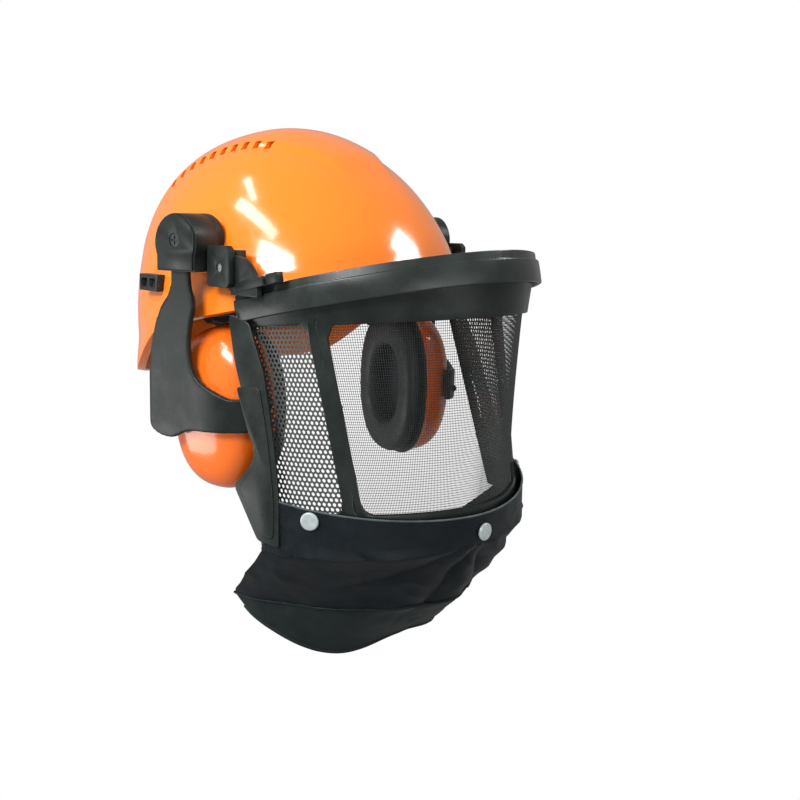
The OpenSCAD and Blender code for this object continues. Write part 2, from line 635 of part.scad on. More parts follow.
module chin_guard_upper() {
    color("#10161a") guard_panel(function(i, t) [guard_line(0, i, t), guard_line(1, i, t),
        lerp(guard_line(1, i, t), guard_line(2, i, t), 0.5), lerp(guard_line(1, i, t), guard_line(2, i, t), 0.99)]);
}
module chin_guard_lower() {
    color("#1b2224") guard_panel(function(i, t) [lerp(guard_line(2, i, t), guard_line(3, i, t), 0.015),
        lerp(guard_line(2, i, t), guard_line(3, i, t), 0.5), guard_line(3, i, t)]);
}

shell();
headband();
sweatband();
crown_strap_middle();
crown_strap_right();
crown_strap_left();
cradle_clips();
strap_guides();
chin_strap_lug_right();
chin_strap_lug_left();
nape_strap();
ratchet_housing();
nape_pad();
ratchet_knob();
ratchet_axle();
strap_clip_right();
strap_clip_left();
slot_adapter_right();
slot_adapter_left();
visor_bracket_right();
visor_bracket_left();
visor_pivot_pins();
muff_housing_right();
muff_housing_left();
swivel_bolt_right();
swivel_bolt_left();
cover_screw_right();
cover_screw_left();
arm_carrier_right();
arm_carrier_left();
flip_pin_right();
flip_pin_left();
flip_spring_right();
flip_spring_left();
muff_arm_right();
muff_arm_left();
cup_pins_right();
cup_pins_left();
cup_right();
cup_left();
cup_plate_right();
cup_plate_left();
foam_liner_right();
foam_liner_left();
cushion_right();
cushion_left();
visor_arm_right();
visor_arm_left();
brow_band();
visor_frame();
side_plate_right();
side_plate_left();
front_mesh();
side_mesh_right();
side_mesh_left();
visor_rivets();
snap_sockets();
snap_studs();
chin_guard_upper();
chin_guard_lower();
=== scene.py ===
# Forestry helmet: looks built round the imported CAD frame. Lengths inside the makers are millimetres.
import bpy
import bmesh
import json
import math
from math import cos, pi, radians, sin, sqrt, tan
from mathutils import Matrix, Vector, noise


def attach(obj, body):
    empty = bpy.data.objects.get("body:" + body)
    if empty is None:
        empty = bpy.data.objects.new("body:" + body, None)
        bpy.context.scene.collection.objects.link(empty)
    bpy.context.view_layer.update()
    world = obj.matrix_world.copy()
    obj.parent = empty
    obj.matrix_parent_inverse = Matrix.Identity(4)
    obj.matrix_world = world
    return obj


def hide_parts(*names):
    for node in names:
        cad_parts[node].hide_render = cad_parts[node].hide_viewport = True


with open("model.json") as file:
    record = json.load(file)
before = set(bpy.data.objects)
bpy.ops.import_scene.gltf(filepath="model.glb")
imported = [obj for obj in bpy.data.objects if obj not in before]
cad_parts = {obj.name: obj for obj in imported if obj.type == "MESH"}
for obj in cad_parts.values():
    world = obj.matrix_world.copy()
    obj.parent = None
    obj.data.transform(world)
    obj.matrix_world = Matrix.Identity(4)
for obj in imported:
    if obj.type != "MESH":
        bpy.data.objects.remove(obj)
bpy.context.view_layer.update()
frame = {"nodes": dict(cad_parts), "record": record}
MM = 0.001
RIGHT, LEFT = 1, -1
SIDE_NAMES = {RIGHT: "right", LEFT: "left"}
scene = bpy.context.scene


# ---------- camera and light -----------------
def make_camera():
    azimuth, elevation, roll = radians(-39.2016), radians(8.2155), radians(0.644)
    back = Vector((sin(azimuth) * cos(elevation), -cos(azimuth) * cos(elevation), sin(elevation)))
    right = Vector((0, 0, 1)).cross(back).normalized()
    up = back.cross(right)
    x_axis = right * cos(roll) + up * sin(roll)
    y_axis = up * cos(roll) - right * sin(roll)
    data = bpy.data.cameras.new("camera")
    data.sensor_width = 36
    data.lens = 39.86
    data.shift_x = 0.126
    data.shift_y = -0.0642
    camera = bpy.data.objects.new("camera", data)
    turn = Matrix((x_axis, y_axis, back)).transposed().to_4x4()
    camera.matrix_world = Matrix.Translation((-0.42975, -0.52690, 0.05617)) @ turn
    scene.collection.objects.link(camera)
    scene.camera = camera


def area_light(name, place, aim, size, watts, tint=(1, 1, 1)):
    data = bpy.data.lights.new(name, "AREA")
    data.shape = "RECTANGLE"
    data.size, data.size_y = size
    data.energy = watts
    data.color = tint
    lamp = bpy.data.objects.new(name, data)
    lamp.location = place
    lamp.rotation_euler = (Vector(aim) - Vector(place)).to_track_quat("-Z", "Y").to_euler()
    scene.collection.objects.link(lamp)


def softbox(mirror, facing, size, brightness, away=900):
    """A softbox towards facing, mirrored at a point of the shell; brightness in W per square metre."""
    place = Vector(mirror) + Vector(facing).normalized() * away
    width, height = (e * MM for e in size)
    area_light("softbox", place * MM, Vector(mirror) * MM, (width, height), brightness * width * height)


def make_studio():
    """The camera sees white surroundings; the object is lit by softboxes and a dim grey room."""
    world = bpy.data.worlds.new("studio")
    world.use_nodes = True
    tree = world.node_tree
    room = tree.nodes["Background"]
    room.inputs["Color"].default_value = (1, 0.99, 0.98, 1)
    room.inputs["Strength"].default_value = 0.4
    white = tree.nodes.new("ShaderNodeBackground")
    white.inputs["Color"].default_value = (1, 1, 1, 1)
    white.inputs["Strength"].default_value = 1.0
    seen = tree.nodes.new("ShaderNodeLightPath")
    either = tree.nodes.new("ShaderNodeMixShader")
    tree.links.new(seen.outputs["Is Camera Ray"], either.inputs["Fac"])
    tree.links.new(room.outputs["Background"], either.inputs[1])
    tree.links.new(white.outputs["Background"], either.inputs[2])
    tree.links.new(either.outputs["Shader"], tree.nodes["World Output"].inputs["Surface"])
    scene.world = world
    softbox((-80, -78, 30), (-0.82, -0.08, 0.53), (430, 270), 75)
    softbox((-78, -52, 56), (-0.62, 0.25, 0.74), (560, 110), 50)
    softbox((-73, -37, 77), (-0.37, 0.45, 0.81), (300, 60), 45)
    softbox((-5, -116, 36), (0.66, -0.46, 0.60), (260, 190), 60)
    area_light("front", (-0.35, -1.2, 0.05), (0, -0.1, -0.05), (0.9, 0.3), 4)
    area_light("low", (-0.8, 0.5, -0.3), (0, 0, 0), (0.5, 0.4), 3)
    scene.view_settings.view_transform = "Standard"
    scene.render.film_transparent = False


# ---------- materials ----------
def new_material(name):
    mat = bpy.data.materials.new(name)
    mat.use_nodes = True
    return mat, mat.node_tree, mat.node_tree.nodes["Principled BSDF"]


def plain(name, colour, rough):
    mat, _, shader = new_material(name)
    shader.inputs["Base Color"].default_value = (*colour, 1)
    shader.inputs["Roughness"].default_value = rough
    return mat


def add_noise(tree, coords, scale, detail=3.0, rough=0.55):
    tex = tree.nodes.new("ShaderNodeTexNoise")
    tex.inputs["Scale"].default_value = scale
    tex.inputs["Detail"].default_value = detail
    tex.inputs["Roughness"].default_value = rough
    tree.links.new(coords, tex.inputs["Vector"])
    return tex


def ramp(tree, source, low, high, start=0.35, stop=0.65):
    node = tree.nodes.new("ShaderNodeMapRange")
    node.inputs["From Min"].default_value = start
    node.inputs["From Max"].default_value = stop
    node.inputs["To Min"].default_value = low
    node.inputs["To Max"].default_value = high
    tree.links.new(source, node.inputs["Value"])
    return node.outputs["Result"]


def mix_colour(tree, factor, first, second):
    node = tree.nodes.new("ShaderNodeMix")
    node.data_type = "RGBA"
    node.inputs["A"].default_value = (*first, 1)
    node.inputs["B"].default_value = (*second, 1)
    tree.links.new(factor, node.inputs["Factor"])
    return node.outputs["Result"]


def add_bump(tree, shader, height, strength, distance):
    node = tree.nodes.new("ShaderNodeBump")
    node.inputs["Strength"].default_value = strength
    node.inputs["Distance"].default_value = distance
    tree.links.new(height, node.inputs["Height"])
    tree.links.new(node.outputs["Normal"], shader.inputs["Normal"])


def object_coords(tree):
    return tree.nodes.new("ShaderNodeTexCoord").outputs["Object"]


def gloss_plastic(name, colour, shade, rough=0.16):
    """Polished coloured moulding with a slow colour drift, fine orange peel and faint scuffs."""
    mat, tree, shader = new_material(name)
    coords = object_coords(tree)
    drift = add_noise(tree, coords, 9, 2)
    tree.links.new(mix_colour(tree, drift.outputs["Fac"], colour, shade), shader.inputs["Base Color"])
    scuffs = add_noise(tree, coords, 160, 5, 0.7)
    scuffed = ramp(tree, scuffs.outputs["Fac"], rough, rough + 0.1, 0.5, 0.75)
    tree.links.new(scuffed, shader.inputs["Roughness"])
    peel = add_noise(tree, coords, 420, 1)
    add_bump(tree, shader, peel.outputs["Fac"], 0.05, 0.0004)
    shader.inputs["Coat Weight"].default_value = 0.35
    shader.inputs["Coat Roughness"].default_value = 0.06
    shader.inputs["Subsurface Weight"].default_value = 0.08
    shader.inputs["Subsurface Radius"].default_value = (0.004, 0.0015, 0.0005)
    return mat


def grained_plastic(name, colour, wear, rough=0.42, grain=900, depth=0.25):
    """Moulded plastic with a fine spark-eroded grain, uneven gloss and paler rubbed patches."""
    mat, tree, shader = new_material(name)
    coords = object_coords(tree)
    patches = add_noise(tree, coords, 45, 4, 0.6)
    rub = ramp(tree, patches.outputs["Fac"], 0, 1, 0.4, 0.75)
    tree.links.new(mix_colour(tree, rub, colour, wear), shader.inputs["Base Color"])
    tree.links.new(ramp(tree, patches.outputs["Fac"], rough - 0.06, rough + 0.1), shader.inputs["Roughness"])
    fine = add_noise(tree, coords, grain, 2)
    add_bump(tree, shader, fine.outputs["Fac"], depth, 0.0003)
    shader.inputs["Specular IOR Level"].default_value = 0.28
    return mat


def metal(name, colour, rough=0.3):
    mat, tree, shader = new_material(name)
    coords = object_coords(tree)
    shader.inputs["Metallic"].default_value = 1
    brushed = add_noise(tree, coords, 700, 3)
    tree.links.new(ramp(tree, brushed.outputs["Fac"], rough - 0.08, rough + 0.12), shader.inputs["Roughness"])
    tree.links.new(mix_colour(tree, brushed.outputs["Fac"], colour, [c * 0.8 for c in colour]),
        shader.inputs["Base Color"])
    return mat


def painted_wire(name, colour, rough=0.35):
    mat, tree, shader = new_material(name)
    drift = add_noise(tree, object_coords(tree), 300, 3)
    tree.links.new(mix_colour(tree, drift.outputs["Fac"], colour, [c * 0.55 for c in colour]),
        shader.inputs["Base Color"])
    shader.inputs["Roughness"].default_value = rough
    shader.inputs["Metallic"].default_value = 0.25
    return mat


def weave(name, colour, light, pitch, depth=0.6, rough=0.7, sheen=0.25):
    """Woven cloth: two crossed thread waves in the object's own metres, with slubs and a soft sheen."""
    mat, tree, shader = new_material(name)
    coords = object_coords(tree)
    waves = []
    for axis in ("X", "Z"):
        wave = tree.nodes.new("ShaderNodeTexWave")
        wave.wave_type = "BANDS"
        wave.bands_direction = axis
        wave.inputs["Scale"].default_value = 0.32 / pitch
        wave.inputs["Distortion"].default_value = 0.6
        wave.inputs["Detail"].default_value = 1
        tree.links.new(coords, wave.inputs["Vector"])
        waves.append(wave.outputs["Fac"])
    cross = tree.nodes.new("ShaderNodeMath")
    cross.operation = "MULTIPLY"
    tree.links.new(waves[0], cross.inputs[0])
    tree.links.new(waves[1], cross.inputs[1])
    slubs = add_noise(tree, coords, 70, 5, 0.65)
    threads = mix_colour(tree, ramp(tree, slubs.outputs["Fac"], 0, 1), colour, light)
    tree.links.new(threads, shader.inputs["Base Color"])
    add_bump(tree, shader, cross.outputs["Value"], depth, pitch * 0.6)
    tree.links.new(ramp(tree, slubs.outputs["Fac"], rough - 0.08, rough + 0.08), shader.inputs["Roughness"])
    shader.inputs["Specular IOR Level"].default_value = 0.2
    shader.inputs["Sheen Weight"].default_value = sheen
    shader.inputs["Sheen Roughness"].default_value = 0.4
    return mat


def foam(name, colour):
    mat, tree, shader = new_material(name)
    cells = tree.nodes.new("ShaderNodeTexVoronoi")
    cells.inputs["Scale"].default_value = 800
    tree.links.new(object_coords(tree), cells.inputs["Vector"])
    tree.links.new(mix_colour(tree, cells.outputs["Distance"], colour, [c * 0.4 for c in colour]),
        shader.inputs["Base Color"])
    add_bump(tree, shader, cells.outputs["Distance"], 0.8, 0.0008)
    shader.inputs["Roughness"].default_value = 0.95
    return mat


def soft_vinyl(name, colour):
    mat, tree, shader = new_material(name)
    coords = object_coords(tree)
    pebble = tree.nodes.new("ShaderNodeTexVoronoi")
    pebble.inputs["Scale"].default_value = 650
    tree.links.new(coords, pebble.inputs["Vector"])
    drift = add_noise(tree, coords, 60, 4)
    tree.links.new(mix_colour(tree, drift.outputs["Fac"], colour, [c * 2.2 for c in colour]),
        shader.inputs["Base Color"])
    add_bump(tree, shader, pebble.outputs["Distance"], 0.35, 0.0003)
    tree.links.new(ramp(tree, drift.outputs["Fac"], 0.42, 0.6), shader.inputs["Roughness"])
    return mat


def make_materials():
    dark, dark_wear = (0.009, 0.013, 0.012), (0.016, 0.022, 0.020)
    return {
        "shell_plastic": gloss_plastic("shell_orange", (0.93, 0.205, 0.012), (0.94, 0.225, 0.018)),
        "cup_plastic": gloss_plastic("cup_orange", (0.92, 0.155, 0.010), (0.93, 0.18, 0.016), 0.2),
        "dark_plastic": grained_plastic("housing_plastic", dark, dark_wear),
        "black_plastic": grained_plastic(
            "black_plastic", (0.012, 0.015, 0.015), (0.03, 0.034, 0.033), 0.38),
        "headgear_plastic": grained_plastic(
            "headgear_plastic", (0.02, 0.023, 0.024), (0.04, 0.044, 0.044), 0.48),
        "brow_plastic": grained_plastic(
            "brow_plastic", (0.018, 0.023, 0.021), (0.027, 0.034, 0.031), 0.27, 1200, 0.1),
        "visor_plastic": grained_plastic(
            "visor_plastic", (0.009, 0.013, 0.012), (0.015, 0.021, 0.019), 0.32, 1000, 0.15),
        "steel": metal("steel", (0.62, 0.64, 0.65)),
        "dark_steel": metal("dark_steel", (0.10, 0.11, 0.11), 0.35),
        "mesh_metal": painted_wire("mesh_grey", (0.09, 0.10, 0.098)),
        "front_wire": painted_wire("wire_black", (0.035, 0.042, 0.042), 0.5),
        "snap_cap": painted_wire("snap_paint", (0.60, 0.68, 0.69), 0.3),
        "guard_fabric": weave(
            "guard_cloth", (0.0022, 0.0048, 0.0072), (0.0045, 0.009, 0.0125), 0.0009, 0.2, 0.48, 0.0),
        "guard_lining": weave(
            "lining_cloth", (0.006, 0.011, 0.012), (0.011, 0.018, 0.018), 0.0009, 0.25, 0.6, 0.0),
        "binding": weave("binding_cloth", (0.05, 0.065, 0.07), (0.09, 0.11, 0.115), 0.0007, 0.4),
        "webbing": weave("webbing", (0.03, 0.034, 0.037), (0.06, 0.066, 0.07), 0.0016, 0.9),
        "sweatband": weave("sweatband_cloth", (0.03, 0.034, 0.037), (0.055, 0.06, 0.063), 0.001, 0.5),
        "foam": foam("foam", (0.06, 0.07, 0.075)),
        "cushion_skin": soft_vinyl("cushion_vinyl", (0.012, 0.014, 0.015)),
    }


# ---------- mesh helpers ----------
def solid(name, points, faces, smooth=False):
    mesh = bpy.data.meshes.new(name)
    mesh.from_pydata([tuple(c * MM for c in p) for p in points], [], faces)
    mesh.validate()
    mesh.update()
    piece = bpy.data.objects.new(name, mesh)
    scene.collection.objects.link(piece)
    if smooth:
        mesh.shade_smooth()
    return piece


def paint(piece, material):
    piece.data.materials.clear()
    piece.data.materials.append(material)


def apply_all(piece):
    """Applies the piece's modifiers."""
    depsgraph = bpy.context.evaluated_depsgraph_get()
    mesh = bpy.data.meshes.new_from_object(piece.evaluated_get(depsgraph))
    piece.modifiers.clear()
    piece.data = mesh


def crisp(piece, angle=35):
    """Smooth shading that keeps edges sharper than the angle."""
    bm = bmesh.new()
    bm.from_mesh(piece.data)
    for f in bm.faces:
        f.smooth = True
    for e in bm.edges:
        e.smooth = not (len(e.link_faces) == 2 and e.calc_face_angle(0) > radians(angle))
    bm.to_mesh(piece.data)
    bm.free()


def orient(piece):
    bm = bmesh.new()
    bm.from_mesh(piece.data)
    bmesh.ops.recalc_face_normals(bm, faces=bm.faces)
    bm.to_mesh(piece.data)
    bm.free()


def grid_faces(rows, columns, closed=False):
    """Quads of a grid of points stored row by row; closed joins the last column to the first."""
    wrap = columns if closed else columns - 1
    return [(r * columns + c, r * columns + (c + 1) % columns, (r + 1) * columns + (c + 1) % columns,
        (r + 1) * columns + c) for r in range(rows - 1) for c in range(wrap)]


def finish_piece(piece, name, slot_name, body, nodes=()):
    """Names the piece, gives it its material, parents it to its body's empty and hides the CAD nodes it
    stands for.
    """
    piece.name = name
    paint(piece, materials[slot_name])
    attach(piece, body)
    if nodes:
        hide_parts(*nodes)


def mirrored(points, s):
    """Points modelled on the wearer's right, moved to the given side."""
    return [(x * s, y, z) for x, y, z in points]


def lerp(a, b, f):
    return a + (b - a) * f


def mix(p, q, f):
    return tuple(lerp(a, b, f) for a, b in zip(p, q))


def smooth_step(v):
    c = min(1.0, max(0.0, v))
    return c * c * (3 - 2 * c)


def signed_power(v, e):
    return math.copysign(abs(v) ** e, v)


def body_of_node(node):
    return next(b for b, members in frame["record"]["behaviour"]["bodies"].items() if node in members)


def slot_of_node(node):
    return next(p["material_slot"] for p in frame["record"]["subparts"] if p["node"] == node)


def softened(node, width):
    """A copy of a CAD node with rounded edges, standing for it."""
    copy = frame["nodes"][node].copy()
    copy.data = frame["nodes"][node].data.copy()
    scene.collection.objects.link(copy)
    bm = bmesh.new()
    bm.from_mesh(copy.data)
    bmesh.ops.remove_doubles(bm, verts=bm.verts, dist=1e-6)
    bmesh.ops.dissolve_limit(bm, angle_limit=radians(1.5), verts=bm.verts, edges=bm.edges)
    bm.to_mesh(copy.data)
    bm.free()
    bevel = copy.modifiers.new("bevel", "BEVEL")
    bevel.width = width * MM
    bevel.segments = 3
    bevel.limit_method = "ANGLE"
    bevel.angle_limit = radians(32)
    bevel.harden_normals = True
    bevel.use_clamp_overlap = True
    apply_all(copy)
    crisp(copy, 40)
    finish_piece(copy, node + "_moulding", slot_of_node(node), body_of_node(node), (node,))


# ---------- shell ----------
SHELL_CENTRE = (0, 4.2, -28.6)
SHELL_A, SHELL_B, SHELL_H, SHELL_WALL = 137.5, 108.5, 150, 3
SHELL_PITCH = radians(-6.8)
PLAN_POWER = 2.25
VENT_X, VENT_SLANT, VENT_FIRST_Y, VENT_PITCH, VENT_COUNT = 53.3, 0.27, -40, 10.1, 10


def rim_level(y):
    return 13 - 0.1 * y - 27 * smooth_step((y - 8) / 80)


def fullness(uy):
    return 2.2 + 0.3 * uy


def raised(x, y, z):
    """Height of the crown panel and its soft ledge over the dome; the drip ledge is added in shell_point."""
    edge = VENT_X + VENT_SLANT * y + 6 - 9 * smooth_step((-y - 48) / 34)
    start = smooth_step((y + 98) / 22)
    panel = 2.9 * smooth_step((edge - abs(x)) / 5) * start
    ledge_edge = VENT_X + VENT_SLANT * y + 17
    ledge = 1.1 * smooth_step((ledge_edge - abs(x)) / 4) * smooth_step((y + 66) / 40)
    return (panel + ledge) * smooth_step((z - 42) / 34)


def shell_point(azimuth, v, inset):
    ux = signed_power(cos(azimuth), 2 / PLAN_POWER)
    uy = signed_power(sin(azimuth), 2 / PLAN_POWER)
    rx, ry, h = SHELL_B - inset, SHELL_A - inset, SHELL_H - inset
    rim = rim_level(SHELL_A * uy)
    z = rim + (h - rim) * sin(pi / 2 * v)
    e = fullness(uy)
    f = (max(0.0, 1 - (max(z, 0) / h) ** e)) ** (1 / e)
    lip = drip = 0
    if not inset:
        lip = 3 * smooth_step(1 - v * 9)
        drip = 1.5 * smooth_step((39.5 - z) / 1.8) * smooth_step((-SHELL_A * uy - 15) / 45) * (1 - lip / 3)
    x, y = (rx + lip + drip) * ux * f, (ry + lip + drip) * uy * f
    return x, y, z + (0 if inset else raised(x, y, z))


def to_shell_frame(p):
    c, s = cos(SHELL_PITCH), sin(SHELL_PITCH)
    x, y, z = p
    return x + SHELL_CENTRE[0], y * c - z * s + SHELL_CENTRE[1], y * s + z * c + SHELL_CENTRE[2]


def make_shell():
    steps, rows = 360, 110
    points, rings = [], []
    ends = [(0, k / rows) for k in range(rows, -1, -1)] + [(SHELL_WALL, k / rows) for k in range(rows + 1)]
    rim_mid = SHELL_WALL / 2
    for inset, v in ends:
        v = min(v, 0.9985)
        rings.append([to_shell_frame(shell_point(2 * pi * i / steps, v, inset)) for i in range(steps)])
        if inset == 0 and v == 0:  # rounded edge of the rim
            rings.append([to_shell_frame(tuple(a + b for a, b in zip(
                shell_point(2 * pi * i / steps, 0, rim_mid), (0, 0, -1.1)))) for i in range(steps)])
    points = [p for ring in rings for p in ring]
    faces = grid_faces(len(rings), steps, True)
    last = len(points)
    faces += [tuple(range(steps))[::-1], tuple(range(last - steps, last))]
    shell = solid("shell_skin", points, faces)
    orient(shell)
    shell.data.shade_smooth()
    cutters = []
    for s in (RIGHT, LEFT):
        for k in range(VENT_COUNT):
            y = VENT_FIRST_Y + VENT_PITCH * k
            x = VENT_X + VENT_SLANT * y
            e_plan = (abs(x / SHELL_B) ** PLAN_POWER + abs(y / SHELL_A) ** PLAN_POWER) ** (1 / PLAN_POWER)
            e = fullness(y / (SHELL_A * e_plan))
            z = SHELL_H * (1 - e_plan ** e) ** (1 / e)
            box = [(-s * (x + dx), y + dy, z + dz)
                for dx in (-9, 8) for dy in (-2.4, 2.4) for dz in (-2.2, 3.4)]
            cutters.append([to_shell_frame(p) for p in box])
    cube_faces = [(0, 1, 3, 2), (4, 6, 7, 5), (0, 4, 5, 1), (2, 3, 7, 6), (0, 2, 6, 4), (1, 5, 7, 3)]
    cutter = solid("vent_cutters", [p for box in cutters for p in box],
        [tuple(i + 8 * n for i in f) for n in range(len(cutters)) for f in cube_faces])
    orient(cutter)
    cut = shell.modifiers.new("vents", "BOOLEAN")
    cut.operation = "DIFFERENCE"
    cut.solver = "EXACT"
    cut.object = cutter
    apply_all(shell)
    bpy.data.objects.remove(cutter)
    crisp(shell, 38)
    finish_piece(shell, "shell_skin", "shell_plastic", "frame", ("shell",))


# ---------- visor ----------
BROW_W, BROW_FRONT, BROW_REAR, BROW_Z, BROW_HT = 104, 198, -60, 5, 14.5
BROW_PITCH = radians(12.8)
VISOR_LOW = -145
FRAME_T = 3
WINDOW_LOW = 0.82
REAR_EDGE, REAR_IN = (3.6, 8.5), (6.7, 13)
STRUT_REAR, STRUT_FRONT = (26.2, 43.5), (31.5, 52)


def arch_point(w, rear, front, n, a):
    c, s = cos(radians(a)), sin(radians(a))
    return -w * signed_power(c, 2 / n), rear + (front - rear) * abs(s) ** (2 / n)


def level_top(a, t):
    x, y = arch_point(101 - t, -59, 3 - BROW_FRONT + t, 2, a)
    return x, y, BROW_Z - BROW_HT + 3 - tan(BROW_PITCH) * (y - BROW_REAR)


def level_window(a, t):
    x, y = arch_point(99.6 - t, -57, 3 - BROW_FRONT + t, 1.9, a)
    return x, y, -12.6 - 0.1 * (y + 57)


def level_low(a, t):
    x, y = arch_point(113 - t, -90, -182 + t, 1.85, a)
    return x, y, VISOR_LOW


def visor_point(lines, v, t):
    """Point on the visor's surface, t inside it: lines are its angles at the window tops and at the bottom,
    v runs 0 at the top edge, 1 at the window tops, 2 at the bottom edge."""
    window = level_window(lines[0], t)
    if v <= 1:
        return mix(level_top(lines[0], t), window, v)
    return mix(window, level_low(lines[1], t), v - 1)


def between(first, second, f):
    return lerp(first[0], second[0], f), lerp(first[1], second[1], f)


def other_side(lines):
    return 180 - lines[0], 180 - lines[1]


def rounded_loop(u0, u1, v0, v1, ru, rv, n):
    """Points of a rounded rectangle, n to each side, starting at the corner (u0, v0)."""
    corners = [(u0, v0, 1, 0), (u1, v0, 0, 1), (u1, v1, -1, 0), (u0, v1, 0, -1)]
    loop = []
    for k, (u, v, du, dv) in enumerate(corners):
        nu, nv = corners[(k + 1) % 4][:2]
        for i in range(n):
            f = i / n
            along, across = (ru, rv) if du else (rv, ru)
            length = abs(nu - u) if du else abs(nv - v)
            d = f * length
            inward = 0
            for reach in (d, length - d):
                if reach < along:
                    inward = across * (1 - sqrt(max(0.0, 1 - ((along - reach) / along) ** 2)))
            loop.append((u + du * d - dv * inward, v + dv * d + du * inward))
    return loop


def frame_panel(first, last, window, ru, rv, n):
    """Points and faces of one window's surround between two sets of lines."""
    rings = 5
    outer = rounded_loop(0, 1, 0, 2, 0, 0, n)
    inner = rounded_loop(window[0], window[1], 1, 1 + WINDOW_LOW, ru, rv, n)
    count = len(outer)
    skins = []
    for t in (0, FRAME_T):
        skins.append([visor_point(between(first, last, u), v, t)
            for r in range(rings + 1) for u, v in (mix(a, b, r / rings) for a, b in zip(outer, inner))])
    faces = grid_faces(rings + 1, count, True)
    offset = len(skins[0])
    faces += [tuple(i + offset for i in f[::-1]) for f in grid_faces(rings + 1, count, True)]
    for r, flip in ((0, False), (rings, True)):
        for i in range(count):
            a, b = r * count + i, r * count + (i + 1) % count
            quad = (a, a + offset, b + offset, b)
            faces.append(quad[::-1] if flip else quad)
    return skins[0] + skins[1], faces


def make_visor_frame():
    points, faces = [], []
    strut = between(STRUT_REAR, STRUT_FRONT, 0.5)
    span = strut[0] - REAR_EDGE[0]
    side_window = ((REAR_IN[0] - REAR_EDGE[0]) / span, (STRUT_REAR[0] - REAR_EDGE[0]) / span)
    half = (STRUT_FRONT[0] - strut[0]) / (180 - 2 * strut[0])
    panels = [(REAR_EDGE, strut, side_window, 0.09, 0.05, 36),
        (strut, other_side(strut), (half, 1 - half), 0.035, 0.06, 72),
        (other_side(strut), other_side(REAR_EDGE), (1 - side_window[1], 1 - side_window[0]), 0.09, 0.05, 36)]
    for first, last, window, ru, rv, n in panels:
        p, f = frame_panel(first, last, window, ru, rv, n)
        faces += [tuple(i + len(points) for i in q) for q in f]
        points += p
    piece = solid("visor_frame_moulding", points, faces)
    bm = bmesh.new()
    bm.from_mesh(piece.data)
    bmesh.ops.remove_doubles(bm, verts=bm.verts, dist=1e-5)
    inner_walls = [f for f in bm.faces if all(len(e.link_faces) > 2 for e in f.edges)]
    bmesh.ops.delete(bm, geom=inner_walls, context="FACES")
    bmesh.ops.recalc_face_normals(bm, faces=bm.faces)
    bm.to_mesh(piece.data)
    bm.free()
    bevel = piece.modifiers.new("bevel", "BEVEL")
    bevel.width = 0.9 * MM
    bevel.segments = 3
    bevel.angle_limit = radians(50)
    apply_all(piece)
    crisp(piece, 40)
    finish_piece(piece, "visor_frame_moulding", "visor_plastic", "visor", ("visor_frame",))


def brow_place(x, y, z):
    """From the brow band's own tilted frame."""
    c, s = cos(-BROW_PITCH), sin(-BROW_PITCH)
    return x, y * c - z * s + BROW_REAR, y * s + z * c + BROW_Z


def make_brow_band():
    n = 160
    depth = (BROW_FRONT + BROW_REAR) / cos(BROW_PITCH)
    sections = []
    for i in range(n + 1):
        f = i / n
        a = pi * f
        tangent = Vector((-BROW_W * -sin(a), -depth * cos(a), 0)).normalized()
        out = Vector((tangent.y, -tangent.x, 0))
        base = Vector((-BROW_W * cos(a), -depth * sin(a), 0))
        if out.dot(base) < 0:
            out = -out
        reach = min(f, 1 - f) * 430  # about the distance from the nearer end, along the band
        corner = 7.5
        low = -BROW_HT
        if reach < corner:
            low += corner * (1 - sqrt(max(0.0, 1 - ((corner - reach) / corner) ** 2)))
        top_inset = 1.6
        flange = 4.8 * smooth_step((reach + 2.5) / 5)
        profile = [(-2.7, low + 0.6), (-2.2, low), (-0.6, low), (-0.15, low + 0.35), (0, low + 1.0),
            (0.15, lerp(low, 0, 0.5)), (0, -1.2), (-0.2, -0.45), (-0.75, -0.1), (-top_inset + 0.1, 0),
            (-top_inset, 0.3), (-top_inset, flange - 0.7), (-top_inset - 0.2, flange - 0.15), (-2.2, flange),
            (-2.7, flange - 0.4)]
        sections.append([brow_place(*(base + out * d + Vector((0, 0, z)))) for d, z in profile])
    count = len(sections[0])
    faces = grid_faces(n + 1, count, True)
    faces += [tuple(range(count))[::-1], tuple(range(n * count, (n + 1) * count))]
    piece = solid("brow_band_moulding", [p for sec in sections for p in sec], faces)
    orient(piece)
    crisp(piece, 45)
    finish_piece(piece, "brow_band_moulding", "brow_plastic", "visor", ("brow_band",))


def hex_cell(corners=12):
    """Outer and hole points of a hexagonal cell with a round hole, on the unit pitch."""
    outer, hole = [], []
    for k in range(corners):
        a = 2 * pi * k / corners
        reach = 0.5 / cos((a + pi / 6) % (pi / 3) - pi / 6)
        outer.append((reach * cos(a), reach * sin(a)))
        hole.append((0.34 * cos(a), 0.34 * sin(a)))
    return outer, hole


